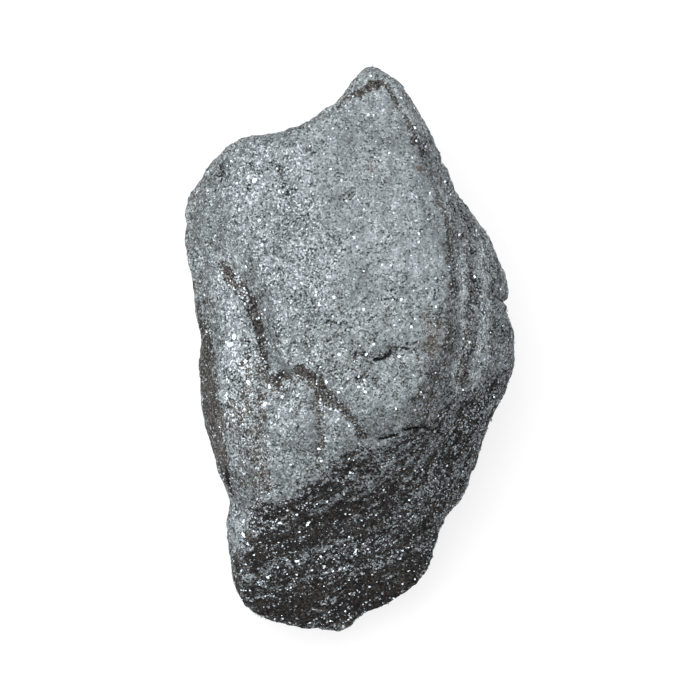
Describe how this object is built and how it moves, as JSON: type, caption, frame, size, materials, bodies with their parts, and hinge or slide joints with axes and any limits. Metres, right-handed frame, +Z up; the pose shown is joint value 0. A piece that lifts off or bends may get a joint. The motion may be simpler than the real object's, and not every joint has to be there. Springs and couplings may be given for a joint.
{
  "type": "hematite specimen",
  "caption": "Rough hand specimen of specular hematite: a wedge-shaped grey stone with a broad upper face, a pointed end, layered sides and a flat patch to rest on.",
  "frame": {"origin": "middle of the bounding box seen from above, on the plane of the resting patch", "axes": "+Y along the stone's length towards its pointed end, +Z up from the resting patch, +X to the right seen from above with the pointed end away"},
  "size_m": [0.0526, 0.0904, 0.036],
  "materials": {
    "hematite": "rough broken specular hematite, steel grey, with fine plates that glint like metal"
  },
  "bodies": {
    "root": {"hematite_stone": "hematite"}
  },
  "joints": []
}
